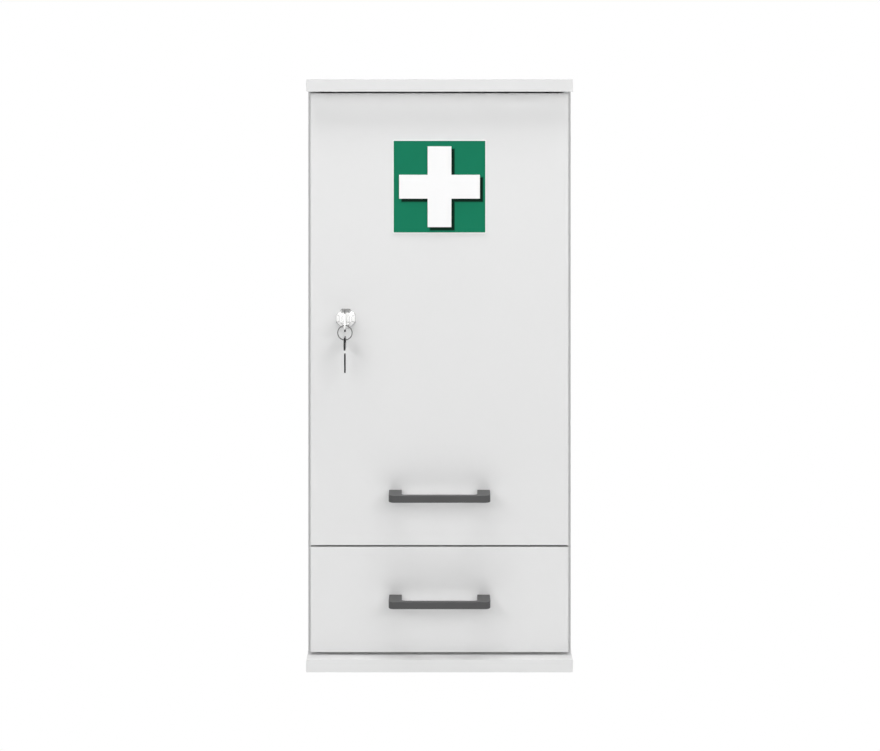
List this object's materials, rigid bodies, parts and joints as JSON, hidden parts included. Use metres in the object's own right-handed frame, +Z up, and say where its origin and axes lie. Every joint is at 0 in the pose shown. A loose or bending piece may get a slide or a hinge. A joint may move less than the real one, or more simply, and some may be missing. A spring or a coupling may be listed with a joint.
{
  "type": "medicine cabinet",
  "caption": "White lockable medicine cabinet: a hinged door with a green first-aid sign and a key lock over a drawer, both with dark bow handles.",
  "frame": {"origin": "bottom centre of the whole part, keys and handles included", "axes": "+X to the right as seen from the front, +Y to the back, +Z up"},
  "size_m": [0.4, 0.3746, 0.89],
  "materials": {
    "case_board": "white melamine, fine matt grain, white edge banding",
    "front_board": "white melamine fronts, satin",
    "back_hardboard": "white lacquered hardboard",
    "drawer_board": "light grey melamine",
    "beech": "ribbed beech dowels",
    "zinc": "zinc die cast, satin",
    "zinc_steel": "bright zinc-plated steel sheet",
    "black_steel": "black powder-coated steel plate",
    "screw_steel": "zinc-plated screws",
    "white_plastic": "white moulded plastic",
    "bumper_clear": "translucent soft bumpers",
    "sign_green": "green printed sign plate",
    "sign_white": "white raised cross",
    "anthracite": "anthracite powder coat, fine texture",
    "nickel": "bright nickel-plated lock",
    "key_steel": "dark burnished steel"
  },
  "bodies": {
    "case": {"top_board": "case_board", "bottom_board": "case_board", "side_panel_left": "case_board", "side_panel_right": "case_board", "middle_board": "case_board", "back_panel": "back_hardboard", "hanging_rail": "case_board", "shelf_lower": "case_board", "shelf_upper": "case_board", "shelf_pins": "zinc_steel", "dowels": "beech", "cam_discs": "zinc", "cam_bolts": "screw_steel", "lower_pivot": "black_steel", "lower_pivot_screws": "screw_steel", "upper_pivot_pin": "zinc_steel", "strike_bracket": "zinc_steel", "strike_screws": "screw_steel", "magnet_catch": "white_plastic", "runner_outer_left": "zinc_steel", "runner_outer_right": "zinc_steel", "runner_outer_screws": "screw_steel"},
    "runner_slides": {"runner_middle_left": "zinc_steel", "runner_middle_right": "zinc_steel"},
    "drawer": {"runner_inner_left": "zinc_steel", "runner_inner_right": "zinc_steel", "runner_inner_screws": "screw_steel", "drawer_front": "front_board", "drawer_inner_front": "drawer_board", "drawer_side_left": "drawer_board", "drawer_side_right": "drawer_board", "drawer_back": "drawer_board", "drawer_bottom": "back_hardboard", "drawer_box_screws": "screw_steel", "drawer_front_screws": "screw_steel", "drawer_bumpers": "bumper_clear", "drawer_handle": "anthracite", "drawer_handle_screws": "screw_steel"},
    "door": {"door_panel": "front_board", "door_bushes": "white_plastic", "door_bumpers": "bumper_clear", "catch_plate": "zinc_steel", "sign_plate": "sign_green", "sign_cross": "sign_white", "door_handle": "anthracite", "door_handle_screws": "screw_steel", "lock_housing": "nickel", "lock_nut": "zinc"},
    "lock": {"lock_plug": "nickel", "lock_cam": "zinc", "lock_cam_screw": "screw_steel", "lock_key": "key_steel"},
    "ring": {"key_ring": "key_steel"},
    "spare": {"spare_key": "key_steel"}
  },
  "joints": [
    {"name": "door_swing", "type": "hinge", "parent": "case", "child": "door", "pos_m": [0.1895, -0.13325, 0.1855], "axis": [0, 0, 1], "range_deg": [0, 110]},
    {"name": "drawer_slide", "type": "slide", "parent": "case", "child": "drawer", "axis": [0, -1, 0], "range_m": [0, 0.2]},
    {"name": "runner_slide", "type": "slide", "parent": "case", "child": "runner_slides", "axis": [0, -1, 0], "range_m": [0, 0.1]},
    {"name": "lock_turn", "type": "hinge", "parent": "door", "child": "lock", "pos_m": [-0.1415, -0.14275, 0.5285], "axis": [0, 1, 0], "range_deg": [0, 90]},
    {"name": "key_ring_swing", "type": "hinge", "parent": "lock", "child": "ring", "pos_m": [-0.1415, -0.16975, 0.52125], "axis": [-1, 0, 0], "range_deg": [-8, 45]},
    {"name": "spare_key_swing", "type": "hinge", "parent": "ring", "child": "spare", "pos_m": [-0.1415, -0.16975, 0.49975], "axis": [-1, 0, 0], "range_deg": [-8, 45]}
  ],
  "couplings": [
    {"joint": "runner_slide", "follows": "drawer_slide", "ratio": 0.5}
  ]
}
